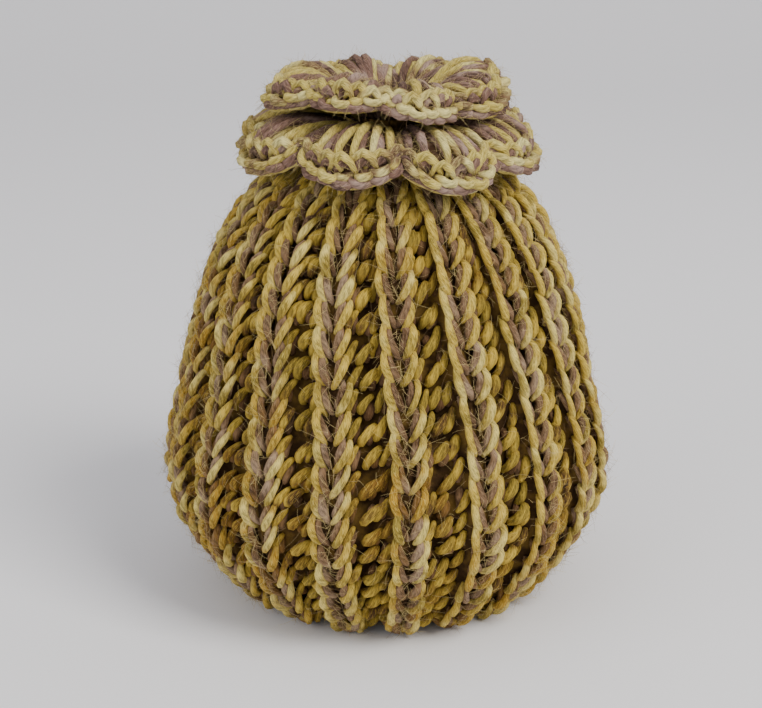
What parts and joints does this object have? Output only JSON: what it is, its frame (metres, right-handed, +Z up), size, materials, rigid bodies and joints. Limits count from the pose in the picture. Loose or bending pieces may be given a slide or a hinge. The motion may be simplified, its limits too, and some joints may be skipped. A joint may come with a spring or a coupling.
{
  "type": "tea cosy",
  "caption": "Hollow ribbed crochet tea cosy, pear shaped, with an open hem, slits for a spout and a handle, and scalloped petals round a drawn-in neck.",
  "frame": {"origin": "under the middle of the hem, on the surface that the cosy stands on", "axes": "+Z up from the hem to the petals, spout slit on the -X side, handle slit on the +X side, front towards -Y"},
  "size_m": [0.156, 0.1571, 0.188],
  "materials": {
    "yarn": "marled wool-blend yarn, matte and slightly fuzzy",
    "petal_yarn": "marled wool-blend yarn, matte, paler and more mauve"
  },
  "bodies": {
    "root": {"body": "yarn", "petals_lower": "petal_yarn", "petals_upper": "petal_yarn"}
  },
  "joints": []
}
